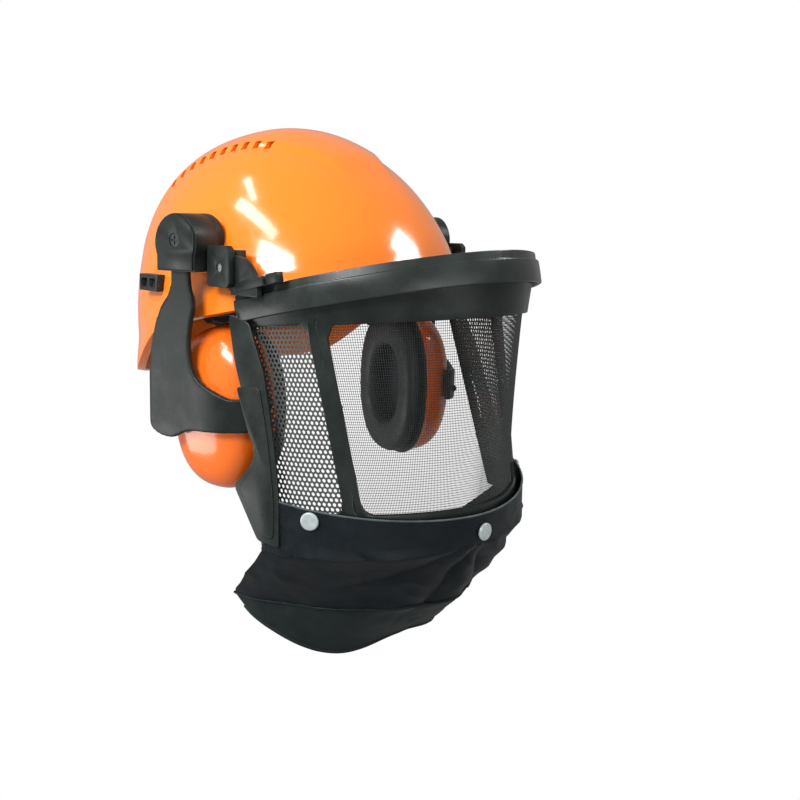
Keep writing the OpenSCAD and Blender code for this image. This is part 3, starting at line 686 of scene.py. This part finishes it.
def make_side_mesh(s):
    """Perforated sheet: staggered round holes, as real holes. Its border, behind the frame, is open."""
    pitch, height = 3.1, 112.0
    row_pitch = pitch * sqrt(0.75)
    top, bottom = 1 - 0.02, 1 + WINDOW_LOW + 0.03
    rear = (REAR_IN[0] - 1.2, REAR_IN[1] - 2.0)
    front = (STRUT_REAR[0] + 1.2, STRUT_REAR[1] + 1.8)
    outer, hole = hex_cell()
    n = len(outer)
    points, faces, seen = [], [], {}

    def level(down):
        return top + (bottom - top) * down / height

    def width_at(down):
        return math.dist(visor_point(rear, level(down), 0), visor_point(front, level(down), 0))

    def index(across, down, t):
        key = (round(across * 50), round(down * 50), t)
        if key not in seen:
            seen[key] = len(points)
            u = min(1.0, max(0.0, across / width_at(down)))
            points.append(visor_point(between(rear, front, u), level(down), t))
        return seen[key]

    for r in range(int(height / row_pitch)):
        down = (r + 0.5) * row_pitch
        shift = pitch / 2 * (r % 2)
        for c in range(int((width_at(down) - shift) / pitch)):
            across = shift + (c + 0.5) * pitch
            rims = []
            for t in (FRAME_T + 0.1, FRAME_T + 0.7):
                rims.append([[index(across + x * pitch, down + y * pitch, t) for x, y in loop]
                    for loop in (outer, hole)])
            (o1, h1), (o2, h2) = rims
            for k in range(n):
                j = (k + 1) % n
                faces.append((o1[k], o1[j], h1[j], h1[k]))
                faces.append((o2[j], o2[k], h2[k], h2[j]))
                faces.append((h1[k], h1[j], h2[j], h2[k]))
    node = "side_mesh_" + SIDE_NAMES[s]
    piece = solid("side_mesh_sheet_" + SIDE_NAMES[s], mirrored(points, s), faces)
    orient(piece)
    crisp(piece, 50)
    finish_piece(piece, "side_mesh_sheet_" + SIDE_NAMES[s], "mesh_metal", "visor", (node,))


def wire(points, faces, path, radius):
    """Square wire along a path of points with outward normals nearly along the path's own frame."""
    start = len(points)
    for k, p in enumerate(path):
        a = Vector(path[max(k - 1, 0)])
        b = Vector(path[min(k + 1, len(path) - 1)])
        along = (b - a).normalized()
        out = Vector((p[0], p[1] + 90, 0)).normalized()
        side = along.cross(out).normalized()
        out = side.cross(along)
        for du, dv in ((1, 0), (0, 1), (-1, 0), (0, -1)):
            points.append(tuple(Vector(p) + side * (du * radius) + out * (dv * radius)))
    count = len(path)
    for k in range(count - 1):
        for i in range(4):
            j = (i + 1) % 4
            near, far = start + k * 4, start + (k + 1) * 4
            faces.append((near + i, near + j, far + j, far + i))
    faces.append(tuple(start + i for i in (3, 2, 1, 0)))
    faces.append(tuple(start + (count - 1) * 4 + i for i in range(4)))


def make_front_mesh():
    """Woven wire: crossed wires that follow the visor's curve."""
    first = (STRUT_FRONT[0] - 1.5, STRUT_FRONT[1] - 1.5)
    last = other_side(first)
    top, bottom = 1 - 0.02, 1 + WINDOW_LOW + 0.02
    depth = FRAME_T + 0.5
    uprights, levels = 170, 78
    points, faces = [], []
    for i in range(uprights + 1):
        lines = between(first, last, i / uprights)
        wire(points, faces, [visor_point(lines, lerp(top, bottom, k / 14), depth) for k in range(15)], 0.15)
    for j in range(levels + 1):
        v = lerp(top, bottom, j / levels)
        wire(points, faces, [visor_point(between(first, last, k / 90), v, depth) for k in range(91)], 0.15)
    piece = solid("front_wire_mesh", points, faces)
    finish_piece(piece, "front_wire_mesh", "front_wire", "visor", ("front_mesh",))


def smooth_outline(corners, radius, steps=6):
    """Closed outline with its corners rounded; each corner is (a, b) or (a, b, its own radius)."""
    out = []
    n = len(corners)
    for k, corner in enumerate(corners):
        p = Vector(corner[:2])
        r = corner[2] if len(corner) > 2 else radius
        prev, nxt = Vector(corners[k - 1][:2]), Vector(corners[(k + 1) % n][:2])
        da, db = (prev - p), (nxt - p)
        cut = min(r, da.length * 0.48, db.length * 0.48)
        a, b = p + da.normalized() * cut, p + db.normalized() * cut
        for i in range(steps + 1):
            f = i / steps
            out.append(tuple(a * (1 - f) ** 2 + p * 2 * f * (1 - f) + b * f ** 2))
    return out


def prism(name, outline, low, high, place):
    """Closed prism over an outline; place(a, b, c) puts a point of it in the row frame."""
    n = len(outline)
    points = [place(a, b, c) for c in (low, high) for a, b in outline]
    faces = [tuple(range(n))[::-1], tuple(range(n, 2 * n))]
    faces += [(i, (i + 1) % n, n + (i + 1) % n, n + i) for i in range(n)]
    piece = solid(name, points, faces)
    orient(piece)
    return piece


def rounded_edges(piece, width, segments=3, angle=40):
    bevel = piece.modifiers.new("bevel", "BEVEL")
    bevel.width = width * MM
    bevel.segments = segments
    bevel.angle_limit = radians(angle)
    bevel.harden_normals = False
    apply_all(piece)
    crisp(piece, 35)


PLATE = [(-57, -4), (-66, -36, 20), (-80, -64, 20), (-88.5, -84, 14), (-88, -96, 10), (-75.5, -112, 4),
    (-98, -142.5, 3), (-114, -144, 2), (-110, -112, 12), (-101, -76, 12), (-90, -40), (-74, -8)]


def make_side_plate(s):
    yaw, flare = radians(17), radians(9.5)

    def place(y, z, x):
        y += 59
        x, z = x * cos(flare) + z * sin(flare), z * cos(flare) - x * sin(flare)
        x, y = x * cos(yaw) - y * sin(yaw), x * sin(yaw) + y * cos(yaw)
        return (x - 103.4) * s, y - 59, z

    plate = prism("plate", smooth_outline(PLATE, 4), -2.2, 0, place)
    rounded_edges(plate, 0.6)
    panel = [(-70, -50, 3), (-84.5, -80, 14), (-91.8, -88, 8), (-91, -97, 10),
        (-80.5, -111, 5), (-100.5, -138.5, 3), (-110, -139.5, 3), (-106.5, -112, 12),
        (-98, -78, 12), (-88, -48)]
    raised_panel = prism("plate_panel", smooth_outline(panel, 4), -3.2, -2.1, place)
    rounded_edges(raised_panel, 0.5)
    name = "side_plate_" + SIDE_NAMES[s]
    finish_piece(plate, name + "_moulding", "visor_plastic", "visor", (name,))
    finish_piece(raised_panel, name + "_panel", "visor_plastic", "visor")


# ---------- ear defenders ----------
MUFF_O = (-92, -17)
MUFF_YAW = radians(12)
ARM_MID, ARM_T = 29, 4.5
REAR_TURN, REAR_LEG, FRONT_TURN, FRONT_FLAT = 5, 32, 45.5, 20
CUP_S, CUP_Z, CUP_BASE, CUP_HT, CUP_WID, CUP_DEPTH = 13, -72, -8, 113, 78, 32.5
CUSHION_T = 13


def muff_place(s):
    """Places a point given as outward, forward and up from the right ear defender's axis."""
    def place(u, f, z):
        x = -u * cos(MUFF_YAW) + f * sin(MUFF_YAW) + MUFF_O[0]
        y = -u * sin(MUFF_YAW) - f * cos(MUFF_YAW) + MUFF_O[1]
        return x * s, y, z
    return place


ARM_OUTLINE = [(8, 39, 2), (8, 14, 8), (12, 4, 10), (12.5, -1, 6), (7.5, -20, 25), (8.5, -38, 25),
    (15, -49, 12),
    (30, -55.5, 14), (42, -60, 10), (53, -57, 4), (70, -57, 2), (70, -79, 2), (52, -81, 20), (6, -84, 30),
    (-8, -92, 10), (-22, -91, 8), (-31, -86, 8), (-36.5, -72, 10), (-36.5, -60, 10),
    (-31, -46, 30), (-28, -28, 30),
    (-23.5, -12, 20), (-17, 0, 14), (-12, 5, 10), (-8, 12, 8), (-8, 39, 2)]


def yoke_plan(offset):
    """Plan of the arm's wall as outward and forward, offset outward."""
    rear = [(12, -(REAR_LEG + offset))]
    rear += [(ARM_MID - REAR_TURN + (REAR_TURN + offset) * cos(radians(a)),
        -(REAR_LEG - REAR_TURN + (REAR_TURN + offset) * sin(radians(a)))) for a in range(90, -1, -5)]
    front = [(ARM_MID - FRONT_TURN + (FRONT_TURN + offset) * cos(radians(a)),
        FRONT_FLAT + (FRONT_TURN + offset) * sin(radians(a))) for a in range(0, 61, 3)]
    return rear + front


def make_muff_arm(s):
    place = muff_place(s)
    outline = smooth_outline(ARM_OUTLINE, 8)
    side = prism("arm_side", outline, -10, 45, lambda f, z, u: place(u, f, z))
    plan = yoke_plan(ARM_T / 2 - 0.1) + yoke_plan(-ARM_T / 2 + 0.1)[::-1]
    wall = prism("arm_wall", plan, -100, 45, lambda u, f, z: place(u, f, z))
    cut = side.modifiers.new("wall", "BOOLEAN")
    cut.operation = "INTERSECT"
    cut.solver = "EXACT"
    cut.object = wall
    apply_all(side)
    bpy.data.objects.remove(wall)
    remesh = side.modifiers.new("remesh", "REMESH")
    remesh.mode = "VOXEL"
    remesh.voxel_size = 0.9 * MM
    even = side.modifiers.new("even", "SMOOTH")
    even.factor = 0.5
    even.iterations = 7
    apply_all(side)
    side.data.shade_smooth()
    name = "muff_arm_" + SIDE_NAMES[s]
    finish_piece(side, name + "_moulding", "dark_plastic", "arm_" + SIDE_NAMES[s], (name,))


def oval(hw, hh, a, n=2.35):
    return CUP_S + hw * signed_power(cos(a), 2 / n), CUP_Z + hh * signed_power(sin(a), 2 / n)


def make_cup(s):
    """Domed cup with a soft flange at its mouth."""
    place = muff_place(s)
    steps, rows = 96, 26
    hw, hh = CUP_WID / 2, CUP_HT / 2
    rings = []
    mouth = [(CUP_BASE + 0.2, -2.6), (CUP_BASE + 0.2, -0.4), (CUP_BASE + 0.5, 0.3), (CUP_BASE + 2.6, 0.3),
        (CUP_BASE + 3.1, -0.1)]
    for u, grow in mouth:
        rings.append([(u, *oval(hw + grow, hh + grow, 2 * pi * i / steps)) for i in range(steps)])
    for k in range(2, rows + 1):
        e = sin(pi / 2 * k / rows * 0.995)
        f = (1 - e ** 3.4) ** (1 / 3.4)
        crown = 1.1 * (1 - f) ** 2
        rings.append([(CUP_BASE + (CUP_DEPTH - 1.1) * e + crown, *oval((hw - 0.2) * f, (hh - 0.2) * f,
            2 * pi * i / steps)) for i in range(steps)])
    points = [place(*p) for ring in rings for p in ring]
    faces = grid_faces(len(rings), steps, True)
    faces.append(tuple(range(len(points) - steps, len(points))))
    inner = []
    for k in range(14, -1, -1):
        e = sin(pi / 2 * k / 14 * 0.97)
        f = (1 - e ** 3.4) ** (1 / 3.4)
        inner.append([(CUP_BASE + 0.2 + (CUP_DEPTH - 2.8) * e, *oval((hw - 2.6) * f, (hh - 2.6) * f,
            2 * pi * i / steps)) for i in range(steps)])
    base = len(points)
    points += [place(*p) for ring in inner for p in ring]
    faces += [tuple(i + base for i in f) for f in grid_faces(len(inner), steps, True)]
    faces.append(tuple(range(base, base + steps)))
    faces += [(i, (i + 1) % steps, len(points) - steps + (i + 1) % steps, len(points) - steps + i)
        for i in range(steps)]
    piece = solid("cup", points, faces)
    orient(piece)
    crisp(piece, 45)
    name = "cup_" + SIDE_NAMES[s]
    finish_piece(piece, name + "_moulding", "cup_plastic", "ear_cup_" + SIDE_NAMES[s], (name,))


def make_cushion(s):
    """Foam-filled sealing ring: full, rounded section that wrinkles a little round the inner edge."""
    place = muff_place(s)
    steps, section = 160, 20
    near, far = CUP_BASE - 2.9, CUP_BASE - 2.7 - CUSHION_T + 0.2
    rings = []
    for i in range(steps):
        a = 2 * pi * i / steps
        ring = []
        for k in range(section):
            b = 2 * pi * k / section
            w, d = signed_power(cos(b), 0.72), signed_power(sin(b), 0.8)
            pucker = 0.35 * noise.noise(Vector((cos(a) * 9, sin(a) * 9, b * 1.3))) * (1 - w) / 2
            mid_w, mid_h = (CUP_WID / 2 - 0.6 + 19) / 2, (CUP_HT / 2 - 0.6 + 30) / 2
            half_w, half_h = mid_w - 19.2, mid_h - 30.2
            f, z = oval(mid_w + w * half_w + pucker, mid_h + w * half_h + pucker, a)
            ring.append((lerp(far, near, 0.5 + 0.5 * d) + pucker, f, z))
        rings.append(ring)
    points = [place(*p) for ring in rings for p in ring]
    faces = []
    for i in range(steps):
        for k in range(section):
            j, m = (i + 1) % steps, (k + 1) % section
            faces.append((i * section + k, j * section + k, j * section + m, i * section + m))
    piece = solid("cushion", points, faces)
    orient(piece)
    piece.data.shade_smooth()
    name = "cushion_" + SIDE_NAMES[s]
    finish_piece(piece, name + "_pad", "cushion_skin", "ear_cup_" + SIDE_NAMES[s], (name,))


def make_foam(s):
    place = muff_place(s)
    steps, rows = 64, 10
    rings = []
    for k in range(rows + 1):
        e = sin(pi / 2 * k / rows * 0.96)
        f = (1 - e ** 3) ** (1 / 3)
        rings.append([(CUP_BASE + 1.2 + (CUP_DEPTH - 12.6) * e, *oval(33.4 * f, 45.4 * f, 2 * pi * i / steps))
            for i in range(steps)])
    dish = [[(CUP_BASE + 1.2 + 2.5 * (1 - g * g), *oval(33.4 * g, 45.4 * g, 2 * pi * i / steps))
        for i in range(steps)]
        for g in (0.25, 0.5, 0.75, 0.92)]
    rings = dish + rings
    points = [place(*p) for ring in rings for p in ring]
    faces = grid_faces(len(rings), steps, True)
    faces += [tuple(range(steps)), tuple(range(len(points) - steps, len(points)))]
    piece = solid("foam", points, faces)
    orient(piece)
    crisp(piece, 60)
    name = "foam_liner_" + SIDE_NAMES[s]
    finish_piece(piece, name + "_pad", "foam", "ear_cup_" + SIDE_NAMES[s], (name,))


# ---------- chin guard ----------
GUARD_EDGE = (18, 10.4, 0, 0)
GUARD_OFF = 2.2
GUARD_T = 1.6


def guard_line(k, f, t):
    """Line k of the guard at share f of the way from right to left, t inside its outer surface."""
    a = lerp(GUARD_EDGE[k], 180 - GUARD_EDGE[k], f)
    s = sin(radians(a))
    if k == 0:
        x, y = arch_point(112.4 + GUARD_OFF - t, -84, -185.2 - GUARD_OFF + t, 1.87, a)
        return x, y, -110 - 14 * s
    if k == 1:
        x, y = arch_point(115.6 + GUARD_OFF - t, -90, -182.4 - GUARD_OFF + t, 1.85, a)
        return x, y, VISOR_LOW - 1
    if k == 2:
        x, y = arch_point(94 - t, -48, -160 + t, 1.8, a)
        return x, y, -199 + 9 * s
    x, y = arch_point(88 - t, -50, -118 + t, 1.9, a)
    return x, y, -210 - 36 * s ** 1.2 + 18 * s ** 8


STUD_PLACES = [((-98.9, -133.4, -123), 56), ((0, -185.8, -136), 0), ((98.9, -133.4, -123), -56)]


def guard_skin(f, v, t):
    """Point of the guard: v is 0 at the top edge, 1 at the visor's bottom, 2 at the seam, 3 at the hem."""
    k = min(2, int(v))
    return Vector(mix(guard_line(k, f, t), guard_line(k + 1, f, t), v - k))


def guard_folds(v, p):
    """How far the cloth stands out from its plain shape, in soft folds that spread from the snaps."""
    out = 0
    free = smooth_step((v - 0.7) / 0.6) * smooth_step((3.25 - v) / 0.6)
    for n, (place, _) in enumerate(STUD_PLACES):
        d = p - Vector(place)
        along = d.x + 0.35 * d.y * (1 if place[0] < 0 else -1 if place[0] > 0 else 0)
        ray = math.atan2(d.z, along)
        strength = smooth_step(d.length / 26) * smooth_step((135 - d.length) / 100)
        crease = abs(sin(ray * 4.1 + 0.9 + 0.7 * n)) ** 0.7
        out += 4.4 * (crease - 0.6) * strength * free
    hang = noise.noise(Vector((p.x * 0.022, p.y * 0.022, p.z * 0.034)))
    ridge = 1 - abs(noise.noise(Vector((p.x * 0.03 + 5, p.y * 0.03, p.z * 0.055 + p.x * 0.02)))) * 2
    fine = noise.noise(Vector((p.x * 0.09, p.y * 0.09, p.z * 0.08)) + Vector((3, 7, 1)))
    return out + (3.4 * hang + 1.8 * (ridge - 0.6) + 0.7 * fine) * free


def guard_sheet(name, v0, v1, columns, rows, outward, thick):
    points = []
    for skin_t in (0, thick):
        for r in range(rows + 1):
            v = lerp(v0, v1, r / rows)
            for c in range(columns + 1):
                f = c / columns
                p = guard_skin(f, v, GUARD_T / 2)
                out = Vector((p.x, p.y + 95, 0)).normalized()
                lift = outward + guard_folds(v, p) - skin_t
                points.append(tuple(p + out * lift))
    faces = grid_faces(rows + 1, columns + 1)
    offset = (rows + 1) * (columns + 1)
    faces += [tuple(i + offset for i in f[::-1]) for f in grid_faces(rows + 1, columns + 1)]
    rim = [c for c in range(columns + 1)]
    rim += [r * (columns + 1) + columns for r in range(1, rows + 1)]
    rim += [rows * (columns + 1) + c for c in range(columns - 1, -1, -1)]
    rim += [r * (columns + 1) for r in range(rows - 1, 0, -1)]
    faces += [(rim[k], rim[k] + offset, rim[(k + 1) % len(rim)] + offset, rim[(k + 1) % len(rim)])
        for k in range(len(rim))]
    piece = solid(name, points, faces)
    orient(piece)
    rounded_edges(piece, 0.3, 2, 60)
    return piece


def tube_along(name, path, radius, sides=8):
    points, faces = [], []
    for k, p in enumerate(path):
        a, b = Vector(path[max(k - 1, 0)]), Vector(path[min(k + 1, len(path) - 1)])
        along = (b - a).normalized()
        side = along.cross(Vector((0, 0, 1))).normalized()
        up = side.cross(along)
        for i in range(sides):
            w = 2 * pi * i / sides
            points.append(tuple(Vector(p) + (side * cos(w) * radius[0]) + (up * sin(w) * radius[1])))
    faces = grid_faces(len(path), sides, True)
    faces += [tuple(range(sides))[::-1], tuple(range(len(points) - sides, len(points)))]
    piece = solid(name, points, faces)
    orient(piece)
    piece.data.shade_smooth()
    return piece


def guard_path(v, f0, f1, n, lift):
    path = []
    for i in range(n + 1):
        f = lerp(f0, f1, i / n)
        p = guard_skin(f, v, GUARD_T / 2)
        out = Vector((p.x, p.y + 95, 0)).normalized()
        path.append(tuple(p + out * (lift + guard_folds(v, p))))
    return path


def make_chin_guard():
    upper = guard_sheet("chin_guard_cloth", 0, 1.99, 260, 90, 0.4, 1.2)
    finish_piece(upper, "chin_guard_cloth", "guard_fabric", "visor", ("chin_guard_upper",))
    lower = guard_sheet("chin_guard_panel", 2.012, 3, 220, 46, 0.2, 1.1)
    finish_piece(lower, "chin_guard_panel", "guard_lining", "visor", ("chin_guard_lower",))
    binding = tube_along("top_binding", guard_path(0.0, 0, 1, 200, 0), (0.7, 0.6))
    finish_piece(binding, "top_binding", "binding", "visor")
    hem = tube_along("hem_roll", guard_path(2.985, 0, 1, 200, -0.3), (1.2, 1.6))
    finish_piece(hem, "hem_roll", "guard_lining", "visor")
    seam = tube_along("seam_piping", guard_path(1.995, 0, 1, 240, 0.5), (0.9, 1.0))
    finish_piece(seam, "seam_piping", "guard_fabric", "visor")


def make_studs():
    """Domed snap caps with a rolled rim and a dished middle."""
    for k, (place, yaw) in enumerate(STUD_PLACES):
        turn = radians(-yaw)
        profile = [(2.2, 2.15), (4.2, 2.25), (5.0, 2.2), (5.55, 1.8), (5.7, 1.1), (5.5, 0.5), (4.8, 0.2),
            (4.0, 0.15)]
        steps = 48
        points = []
        for r, h in profile:
            for i in range(steps):
                a = 2 * pi * i / steps
                x, y, z = r * cos(a), -h, r * sin(a)
                points.append((x * cos(turn) - y * sin(turn) + place[0],
                    x * sin(turn) + y * cos(turn) + place[1], z + place[2]))
        faces = grid_faces(len(profile), steps, True)
        faces += [tuple(range(steps))[::-1], tuple(range(len(points) - steps, len(points)))]
        cap = solid("snap_cap_%d" % (k + 1), points, faces)
        orient(cap)
        crisp(cap, 50)
        finish_piece(cap, "snap_cap_%d" % (k + 1), "snap_cap", "visor", ("snap_studs",) if k == 0 else ())


# ---------- headgear ----------
def make_straps():
    """Cradle straps with rounded edges and raised borders."""
    head_pitch = radians(-8)
    base = 20
    for name, half, top, turn in (("crown_strap_middle", 90, 74, 0), ("crown_strap_right", 98, 78, 50),
            ("crown_strap_left", 98, 76, -50)):
        sections = []
        n = 72
        for i in range(n + 1):
            a = pi * i / n
            r, h = half * signed_power(cos(a), 2 / 2.3), top * abs(sin(a)) ** (2 / 2.3)
            profile = [(-9.6, -0.5), (-9.9, -0.1), (-9.6, 0.3), (-8.6, 0.45), (-8.2, 0.2), (8.2, 0.2),
                (8.6, 0.45), (9.6, 0.3), (9.9, -0.1), (9.6, -0.5)]
            normal = Vector((cos(a), 0, sin(a)))
            ring = []
            for w, d in profile:
                p = Vector((r, w, h)) + normal * (d - 0.6)
                p = Matrix.Rotation(radians(turn), 3, "Z") @ p + Vector((0, 0, base))
                ring.append(tuple(Matrix.Rotation(head_pitch, 3, "X") @ p))
            sections.append(ring)
        count = len(sections[0])
        faces = grid_faces(n + 1, count, True)
        faces += [tuple(range(count))[::-1], tuple(range(n * count, (n + 1) * count))]
        piece = solid(name + "_webbing", [p for ring in sections for p in ring], faces)
        orient(piece)
        crisp(piece, 60)
        finish_piece(piece, name + "_webbing", "webbing", "frame", (name,))


def make_pad(node, name, slot_name, voxel, puff):
    """Rounds a plain CAD pad into a stuffed one."""
    copy = frame["nodes"][node].copy()
    copy.data = frame["nodes"][node].data.copy()
    scene.collection.objects.link(copy)
    remesh = copy.modifiers.new("remesh", "REMESH")
    remesh.mode = "VOXEL"
    remesh.voxel_size = voxel * MM
    even = copy.modifiers.new("even", "SMOOTH")
    even.iterations = 5
    apply_all(copy)
    mesh = copy.data
    normals = [v.normal.copy() for v in mesh.vertices]
    for v, n in zip(mesh.vertices, normals):
        quilt = puff * (0.55 + 0.45 * noise.noise(v.co * 90))
        v.co += n * quilt * MM
    mesh.shade_smooth()
    finish_piece(copy, name, slot_name, body_of_node(node), (node,))


# width of the rounded edge on each CAD node that keeps its shape, in millimetres
SOFTENED = {"cradle_clips": 0.5, "strap_guides": 0.5, "headband": 0.5, "nape_strap": 0.5,
    "ratchet_housing": 0.9, "ratchet_knob": 0.7}
SOFTENED_PAIRS = {"chin_strap_lug": 0.5, "strap_clip": 0.7, "slot_adapter": 0.6, "visor_bracket": 0.8,
    "muff_housing": 1.1, "arm_carrier": 0.3, "visor_arm": 0.7, "cup_plate": 0.5}


def keep_nodes():
    """CAD nodes whose shape is right keep it and get a better material."""
    for node, piece in frame["nodes"].items():
        paint(piece, materials["dark_steel" if node.startswith("cover_screw") else slot_of_node(node)])


materials = make_materials()
make_camera()
make_studio()
keep_nodes()
make_shell()
make_visor_frame()
make_brow_band()
make_front_mesh()
for side in (RIGHT, LEFT):
    make_side_mesh(side)
    make_side_plate(side)
    make_muff_arm(side)
    make_cup(side)
    make_cushion(side)
    make_foam(side)
make_chin_guard()
make_studs()
make_straps()
make_pad("sweatband", "sweatband_pad", "sweatband", 1.6, 0.35)
make_pad("nape_pad", "nape_cushion", "sweatband", 1.8, 0.4)
for softened_node, edge in SOFTENED.items():
    softened(softened_node, edge)
for pair, edge in SOFTENED_PAIRS.items():
    for side_name in SIDE_NAMES.values():
        softened(pair + "_" + side_name, edge)
